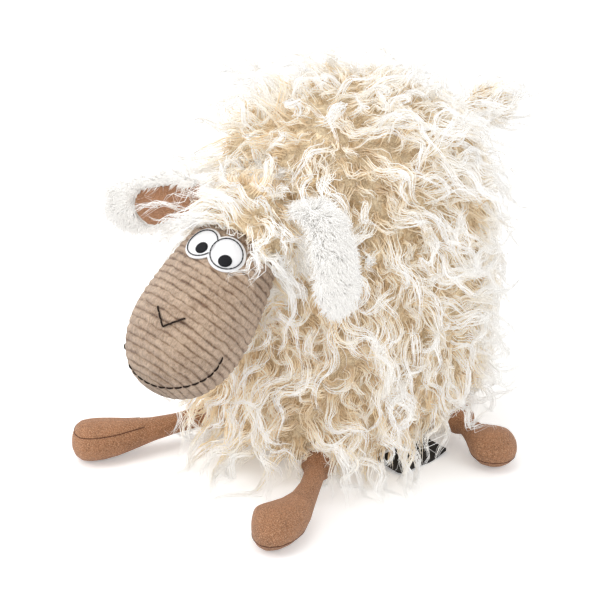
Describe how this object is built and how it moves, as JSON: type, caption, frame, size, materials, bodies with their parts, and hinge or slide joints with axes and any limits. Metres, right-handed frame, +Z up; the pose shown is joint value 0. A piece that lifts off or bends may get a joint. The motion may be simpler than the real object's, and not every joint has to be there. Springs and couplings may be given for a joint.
{
  "type": "plush sheep",
  "caption": "Long-wooled stuffed toy sheep resting on its belly, with splayed legs, a ribbed face, felt eyes, floppy ears and a wool tail.",
  "frame": {"origin": "middle of the belly on the surface that the sheep rests on", "axes": "+Z up; the sheep looks along -Y and its left side is at +X"},
  "size_m": [0.3118, 0.4346, 0.302],
  "materials": {
    "long_wool": "long wavy faux wool, near-white tips over a tan undercoat",
    "polyester_filling": "loose polyester filling",
    "cream_thread": "sewing thread",
    "ribbed_chenille": "heathered beige-brown ribbed chenille",
    "white_felt": "white felt",
    "dark_thread": "dark embroidery thread",
    "white_plush": "short white plush",
    "copper_suede": "copper-tan imitation suede with a fine glitter",
    "black_cloth": "woven label cloth, bare"
  },
  "bodies": {
    "body": {"body_cover": "long_wool", "body_stuffing": "polyester_filling", "closing_thread": "cream_thread"},
    "neck": {"neck_cover": "long_wool"},
    "head": {"crown_cover": "long_wool", "face_cover": "ribbed_chenille", "head_stuffing": "polyester_filling", "eye_felt": "white_felt", "eye_outline_left": "dark_thread", "eye_outline_right": "dark_thread", "pupil_left": "dark_thread", "pupil_right": "dark_thread", "nose_stitch": "dark_thread", "mouth_stitch": "dark_thread"},
    "ear_left": {"ear_plush_left": "white_plush", "ear_lining_left": "copper_suede"},
    "ear_right": {"ear_plush_right": "white_plush", "ear_lining_right": "copper_suede"},
    "leg_front_left": {"leg_cover_front_left": "copper_suede", "leg_stuffing_front_left": "polyester_filling"},
    "leg_front_right": {"leg_cover_front_right": "copper_suede", "leg_stuffing_front_right": "polyester_filling"},
    "leg_rear_left": {"leg_cover_rear_left": "copper_suede", "leg_stuffing_rear_left": "polyester_filling"},
    "leg_rear_right": {"leg_cover_rear_right": "copper_suede", "leg_stuffing_rear_right": "polyester_filling"},
    "tail": {"tail": "long_wool"},
    "label": {"label": "black_cloth"}
  },
  "joints": [
    {"name": "head_turn", "type": "hinge", "parent": "body", "child": "neck", "pos_m": [0.006, -0.126, 0.205], "axis": [0, 0, 1], "range_deg": [-12, 6], "stiffness_Nm_per_rad": 0.8},
    {"name": "head_nod", "type": "hinge", "parent": "neck", "child": "head", "pos_m": [0.006, -0.126, 0.205], "axis": [0.9848, 0.1736, 0], "range_deg": [-12, 15], "stiffness_Nm_per_rad": 1.5},
    {"name": "ear_left_flap", "type": "hinge", "parent": "head", "child": "ear_left", "pos_m": [0.04254, -0.11191, 0.22572], "axis": [0.1385, 0.9892, -0.0486], "range_deg": [-15, 5], "stiffness_Nm_per_rad": 0.06},
    {"name": "ear_right_flap", "type": "hinge", "parent": "head", "child": "ear_right", "pos_m": [-0.02666, -0.12634, 0.23581], "axis": [-0.3297, -0.1917, 0.9244], "range_deg": [-10, 10], "stiffness_Nm_per_rad": 0.06},
    {"name": "front_left_leg_swing", "type": "hinge", "parent": "body", "child": "leg_front_left", "pos_m": [0.06207, -0.10331, 0.021], "axis": [0, 0, 1], "range_deg": [-20, 20]},
    {"name": "front_right_leg_swing", "type": "hinge", "parent": "body", "child": "leg_front_right", "pos_m": [-0.05889, -0.10625, 0.021], "axis": [0, 0, 1], "range_deg": [-20, 20]},
    {"name": "rear_left_leg_swing", "type": "hinge", "parent": "body", "child": "leg_rear_left", "pos_m": [0.09138, 0.03326, 0.021], "axis": [0, 0, 1], "range_deg": [-15, 15]},
    {"name": "rear_right_leg_swing", "type": "hinge", "parent": "body", "child": "leg_rear_right", "pos_m": [-0.09138, 0.03326, 0.021], "axis": [0, 0, 1], "range_deg": [-15, 15]},
    {"name": "tail_wag", "type": "hinge", "parent": "body", "child": "tail", "pos_m": [0, 0.10532, 0.241], "axis": [0, 0, 1], "range_deg": [-15, 15], "stiffness_Nm_per_rad": 0.05},
    {"name": "label_lift", "type": "hinge", "parent": "body", "child": "label", "pos_m": [0.07095, -0.01555, 0.0055], "axis": [-0.0567, -0.9984, 0], "range_deg": [0, 18]}
  ]
}
